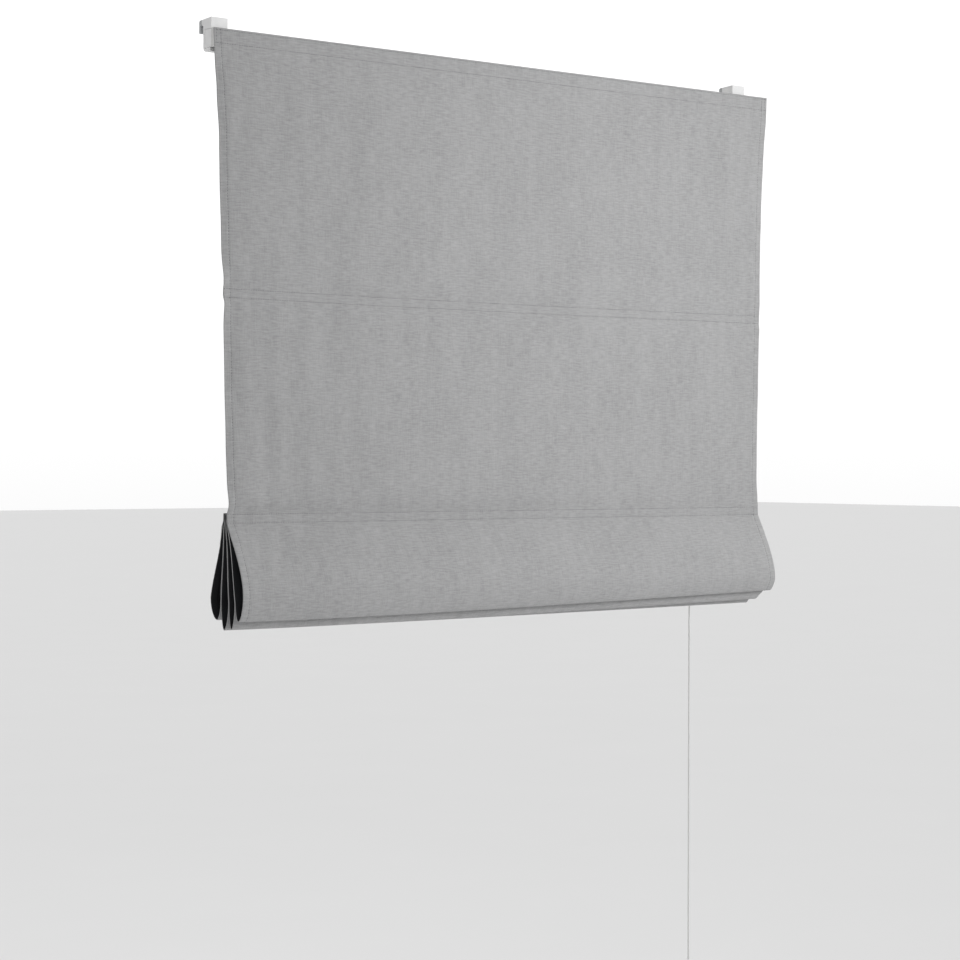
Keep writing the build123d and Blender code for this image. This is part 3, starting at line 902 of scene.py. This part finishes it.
def pocket_strip(name, lath, back):
    """The strip of cloth sewn behind a lath: a shallow channel, closed along its long edges."""
    low, high = LATHS[lath]
    left, right = low.x - POCKET_OVERLAP, high.x + POCKET_OVERLAP
    far = high.y + POCKET_CLEARANCE
    near = front_of(lath) + CLOTH_THICKNESS / 2 + 0.03 * MM
    half = (high.z - low.z) / 2 + POCKET_EDGE
    middle = (low.z + high.z) / 2
    behind = far + POCKET_WALL
    outline = [
        (near, half), (behind, half - 0.9 * MM), (behind, half - 1.8 * MM), (behind, 0),
        (behind, 1.8 * MM - half), (behind, 0.9 * MM - half), (near, -half), (near, 0.35 * MM - half),
        (far, 1.2 * MM - half), (far, 0), (far, half - 1.2 * MM), (near, half - 0.35 * MM),
    ]
    steps = 90
    points, uvs, faces = [], [], []
    for i in range(steps + 1):
        x = left + (right - left) * i / steps
        for j, (y, z) in enumerate(outline):
            wave = 0.12 * MM * noise.noise(Vector((x * 70, lath * 5.0, j * 0.2)))
            points.append((x, y + (wave if 1 <= j <= 5 else 0.0), z + middle))
            uvs.append((x, z + lath * 0.02))
    n = len(outline)
    for i in range(steps):
        for j in range(n):
            a, b = i * n + j, i * n + (j + 1) % n
            faces.append((a, b, b + n, a + n))
    faces.append(tuple(range(n - 1, -1, -1)))
    faces.append(tuple(steps * n + j for j in range(n)))
    return new_mesh(name, points, faces, [back], None, uvs)


# ---- stitches ----
def stitch_tree(made):
    """Geometry nodes that lay one small rounded stitch after another along every line of a mesh."""
    tree = bpy.data.node_groups.new("run_of_stitches", "GeometryNodeTree")
    face = tree.interface
    face.new_socket("Lines", in_out="INPUT", socket_type="NodeSocketGeometry")
    inputs = {
        name: face.new_socket(name, in_out="INPUT", socket_type="NodeSocketFloat").identifier
        for name in ("Pitch", "Stitch length", "Thread radius")}
    face.new_socket("Stitches", in_out="OUTPUT", socket_type="NodeSocketGeometry")
    board = Board(tree)
    given = board.node("NodeGroupInput")
    length, radius = given.out("Stitch length"), given.out("Thread radius")
    curves = board.node("GeometryNodeMeshToCurve", None, Mesh=given.out("Lines")).out("Curve")
    spaced = board.node("GeometryNodeResampleCurve", {"mode": "LENGTH"},
                        Curve=curves, Length=given.out("Pitch"))
    ball = board.node("GeometryNodeMeshUVSphere", None, Segments=6, Rings=4, Radius=1.0).out("Mesh")
    tangent = board.node("GeometryNodeInputTangent").out("Tangent")
    turned = board.node("FunctionNodeAlignRotationToVector", {"axis": "X"}, Vector=tangent).out("Rotation")
    uneven = board.node("FunctionNodeRandomValue", {"data_type": "FLOAT"},
                        **{"Min_001": 0.82, "Max_001": 1.12, "Seed": 5}).out("Value_001")
    size = board.node("ShaderNodeCombineXYZ", None,
                      X=length * 0.5 * uneven, Y=radius * uneven, Z=radius).out("Vector")
    laid = board.node("GeometryNodeInstanceOnPoints", None, Points=spaced.out("Curve"), Instance=ball,
                      Rotation=turned, Scale=size).out("Instances")
    real = board.node("GeometryNodeRealizeInstances", None, Geometry=laid).out("Geometry")
    rounded = board.node("GeometryNodeSetShadeSmooth", None, Geometry=real).out("Geometry")
    painted = board.node("GeometryNodeSetMaterial", None, Geometry=rounded, Material=made).out("Geometry")
    board.node("NodeGroupOutput", None, Stitches=painted)
    return tree, inputs


def stitched(name, lines, tree, inputs, values):
    """Stitches along polylines, as a plain mesh."""
    points, edges = [], []
    for line in lines:
        start = len(points)
        points += line
        edges += [(start + i, start + i + 1) for i in range(len(line) - 1)]
    mesh = bpy.data.meshes.new(name)
    mesh.from_pydata(points, edges, [])
    piece = new_object(name, mesh)
    modifier = piece.modifiers.new("stitches", "NODES")
    modifier.node_group = tree
    for key, value in values.items():
        modifier[inputs[key]] = value
    return as_mesh(piece, name)


def across_line(grid, row, first, last, back=False, lift=THREAD_SINK):
    """A line of thread across the cloth at one row."""
    steps = 160
    spot = grid.on_back if back else grid.on_face
    return [spot(row, first + (last - first) * i / steps, lift) for i in range(steps + 1)]


def down_line(grid, share, first, last, back=False):
    """A line of thread down the cloth at one share across."""
    spot = grid.on_back if back else grid.on_face
    return [spot(row, share, THREAD_SINK) for row in range(first, last + 1)]


# ---- operators ----
class BLIND_OT_stage(bpy.types.Operator):
    """Camera, floor and light"""

    bl_idname = "blind.stage"
    bl_label = "Stage"

    def execute(self, context):
        settings = context.scene.blind_stage
        self.camera(context)
        self.floor(settings)
        self.light(context, settings)
        return {"FINISHED"}

    def camera(self, context):
        data = bpy.data.cameras.new("camera")
        data.lens, data.sensor_width = 93.75, 36.0
        data.clip_start, data.clip_end = 0.05, 100.0
        camera = new_object("camera", data)
        turn = Matrix((
            (0.7829, 0.00335, -0.62214),
            (-0.62214, 0.00894, -0.78285),
            (0.00294, 0.99995, 0.00909),
        ))
        camera.matrix_world = Matrix.Translation((-1.3978, -2.2091, -0.4464)) @ turn.to_4x4()
        context.scene.camera = camera

    def floor(self, settings):
        level = CAD_BOX[0].z - FLOOR_DROP
        corners = [(x * FLOOR_SIZE, y * FLOOR_SIZE, level) for x, y in ((-1, -1), (1, -1), (1, 1), (-1, 1))]

        def paint(board):
            cloud = board.noise(board.object_place(), 3.0, 2.0)
            tone = board.mix(cloud, rgba(settings.floor_colour, 0.99), rgba(settings.floor_colour, 1.01))
            return {"Base Color": tone, "Roughness": 0.85}

        new_mesh("floor", corners, [(0, 1, 2, 3)], [material("pale_floor", paint)])

    def light(self, context, settings):
        world = bpy.data.worlds.new("studio")
        world.use_nodes = True
        world.node_tree.nodes.clear()
        board = Board(world.node_tree)
        side, deep, up = board.parts_of(board.node("ShaderNodeTexCoord").out("Generated"))
        beyond = (0.62 * side + 0.78 * deep).between(-0.3, 0.6)   # bright behind the blind, dimmer in front
        strength = settings.sky_strength * (0.24 + 0.76 * beyond) * (1.0 + 1.3 * up)
        backdrop = board.node("ShaderNodeBackground", None, Color=(1.0, 1.0, 1.0, 1.0), Strength=strength)
        board.node("ShaderNodeOutputWorld", None, Surface=backdrop.out("Background"))
        context.scene.world = world
        target = (CAD_BOX[0] + CAD_BOX[1]) / 2
        for name, place, size, power in (
            ("key", Vector((0.76, -1.05, -0.12)), 0.6, settings.key_power),
            ("rear", Vector((0.4, 2.6, 1.2)), 2.0, settings.key_power * 0.8),
        ):
            data = bpy.data.lights.new(name, "AREA")
            data.shape, data.size, data.energy = "DISK", size, power
            lamp = new_object(name, data)
            lamp.location = place
            lamp.visible_camera = False
            lamp.rotation_mode = "QUATERNION"
            aim = Vector((target.x, target.y, -0.3))
            lamp.rotation_quaternion = (aim - place).to_track_quat("-Z", "Y")


class BLIND_OT_cords(bpy.types.Operator):
    """Pulling strands with their tassel, lift cords and knots"""

    bl_idname = "blind.cords"
    bl_label = "Cords"

    def execute(self, context):
        settings = context.scene.blind_fittings
        cord = pulling_strands(settings)
        lift_cords(cord)
        finish_node("cord_stop_knots", cord)
        finish_node("tassel_knot", cord)
        finish_node("tassel", moulded_plastic("tassel_white_plastic", settings.plastic_colour, 0.3, 0.4))
        return {"FINISHED"}


class BLIND_OT_cloth(bpy.types.Operator):
    """Cloth with its folds, lath pockets and sewing"""

    bl_idname = "blind.cloth"
    bl_label = "Cloth"

    def execute(self, context):
        settings = context.scene.blind_cloth
        grid = ClothGrid(settings)
        face = woven_face(settings.face_colour)
        back = coated_back(settings.backing_colour)
        cloth = thick_sheet("blind_cloth", grid, face, back)
        follow_raising(cloth)
        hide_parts("cloth_upper", "cloth_folds")
        for lath in range(len(LATHS)):
            strip = pocket_strip(f"pocket_strip_{lath + 1}", lath, back)
            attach(strip, "lath_1" if lath == 0 else "lift")
        sewing = self.sew(grid, settings)
        return {"FINISHED"}

    def sew(self, grid, settings):
        thread = twisted_thread("grey_sewing_thread", settings.thread_colour, 0.0009, "X")
        tree, inputs = stitch_tree(thread)
        pitch = settings.stitch_pitch
        values = {"Pitch": pitch, "Stitch length": pitch * 0.78, "Thread radius": THREAD_RADIUS}
        marks = grid.marks
        hem = HEM_WIDTH / CLOTH_WIDTH
        lines = [across_line(grid, marks[f"top_{i}"], 0.002, 0.998) for i in range(2)]
        for lath in (0, 1):
            for edge in ("upper", "lower"):
                seam = marks[f"seam_{lath}_{edge}"]
                lines.append(across_line(grid, seam, 0.002, 0.998))
                lines.append(across_line(grid, seam, hem, 1 - hem, back=True))
        for edge in ("upper", "lower"):
            lines.append(across_line(grid, marks[f"seam_5_{edge}"], hem, 1 - hem, back=True, lift=0))
        lines.append(across_line(grid, marks["bottom_edge"] - 3, 0.004, 0.996, back=True))
        for share in (hem, 1 - hem):
            lines.append(down_line(grid, share, marks["top_0"], marks["tip_0"]))
            lines.append(down_line(grid, share, marks["top_1"] + 3, marks["tip_0"], back=True))
        for first, last in ((0.004, 0.0106), (0.9894, 0.996)):   # small boxes that hold the tape's ends
            lines.append(down_line(grid, first, marks["top_0"], marks["top_1"]))
            lines.append(down_line(grid, last, marks["top_0"], marks["top_1"]))
        sewing = stitched("cloth_stitches", lines, tree, inputs, values)
        follow_raising(sewing)
        return sewing


class BLIND_OT_headrail(bpy.types.Operator):
    """Head rail, end caps, tapes, cord guides and cord lock"""

    bl_idname = "blind.headrail"
    bl_label = "Head rail"

    def execute(self, context):
        settings = context.scene.blind_fittings
        finish_node("head_rail", metal_finish("white_powder_coat", (0.80, 0.80, 0.79), 0.0, 0.42))
        plastic = moulded_plastic("guide_white_plastic", settings.plastic_colour, 0.35)
        for name in ("rail_end_cap_left", "rail_end_cap_right", "cord_guide_left", "cord_guide_right",
                     "cord_lock_housing", "lock_pulley", "lock_pawl"):
            finish_node(name, plastic)
        finish_node("lock_pins", metal_finish("plated_pin", (0.62, 0.62, 0.62), 1.0, 0.3))
        finish_node("hook_tape", napped_tape("hook_tape_white", (0.74, 0.74, 0.73), 0.0016, 0.0003))
        finish_node("loop_tape", napped_tape("loop_tape_white", (0.80, 0.80, 0.79), 0.0011, 0.0004))
        return {"FINISHED"}


class BLIND_OT_brackets(bpy.types.Operator):
    """Clamp brackets, their jaws and lock screws"""

    bl_idname = "blind.brackets"
    bl_label = "Brackets"

    def execute(self, context):
        settings = context.scene.blind_fittings
        body = moulded_plastic("bracket_white_plastic", settings.plastic_colour, 0.32, 0.6)
        # darker jaw colour: painted shade at the rounded rear end of each bracket arm
        jaw = moulded_plastic("jaw_plastic_with_painted_shade", settings.jaw_colour_painted_shade, 0.4, 0.8)
        screw = metal_finish("plated_screw", (0.55, 0.55, 0.56), 1.0, 0.32)
        for side in ("left", "right"):
            finish_node(f"bracket_body_{side}", body)
            finish_node(f"bracket_jaw_{side}", jaw)
            finish_node(f"jaw_lock_screw_{side}", screw)
        return {"FINISHED"}


class BLIND_OT_laths(bpy.types.Operator):
    """Laths, bottom bar and rings"""

    bl_idname = "blind.laths"
    bl_label = "Laths and rings"

    def execute(self, context):
        lath = moulded_plastic("lath_glass_fibre", (0.70, 0.70, 0.67), 0.45)
        for i in range(1, 6):
            finish_node(f"pocket_lath_{i}", lath)
        finish_node("bottom_bar", metal_finish("white_painted_bar", (0.74, 0.74, 0.73), 0.0, 0.4))
        ring = moulded_plastic("ring_milky_plastic", (0.72, 0.73, 0.73), 0.28, 0.4)
        finish_node("rings_upper", ring)
        finish_node("rings_lower", ring)
        return {"FINISHED"}


OPERATORS = (
    BLIND_OT_stage, BLIND_OT_cords, BLIND_OT_cloth, BLIND_OT_headrail, BLIND_OT_brackets, BLIND_OT_laths)


class BLIND_PT_panel(bpy.types.Panel):
    """Builds the blind piece by piece"""

    bl_idname = "BLIND_PT_panel"
    bl_label = "Roman blind"
    bl_space_type = "VIEW_3D"
    bl_region_type = "UI"
    bl_category = "Blind"

    def draw(self, context):
        for settings in (context.scene.blind_cloth, context.scene.blind_fittings, context.scene.blind_stage):
            for name in settings.bl_rna.properties.keys():
                if name not in ("rna_type", "name"):
                    self.layout.prop(settings, name)
        for operator in OPERATORS:
            self.layout.operator(operator.bl_idname)


SETTINGS = {
    "blind_cloth": BlindClothSettings,
    "blind_fittings": BlindFittingSettings,
    "blind_stage": BlindStageSettings,
}


def register():
    for made in (*SETTINGS.values(), *OPERATORS, BLIND_PT_panel):
        bpy.utils.register_class(made)
    for name, group in SETTINGS.items():
        setattr(bpy.types.Scene, name, PointerProperty(type=group))


def unregister():
    for name in SETTINGS:
        delattr(bpy.types.Scene, name)
    for made in reversed((*SETTINGS.values(), *OPERATORS, BLIND_PT_panel)):
        bpy.utils.unregister_class(made)


def main():
    register()
    bpy.context.scene.view_settings.view_transform = "Standard"
    for operator in (bpy.ops.blind.stage, bpy.ops.blind.cords, bpy.ops.blind.cloth, bpy.ops.blind.headrail,
                     bpy.ops.blind.brackets, bpy.ops.blind.laths):
        operator()


if __name__ == "__main__":
    main()
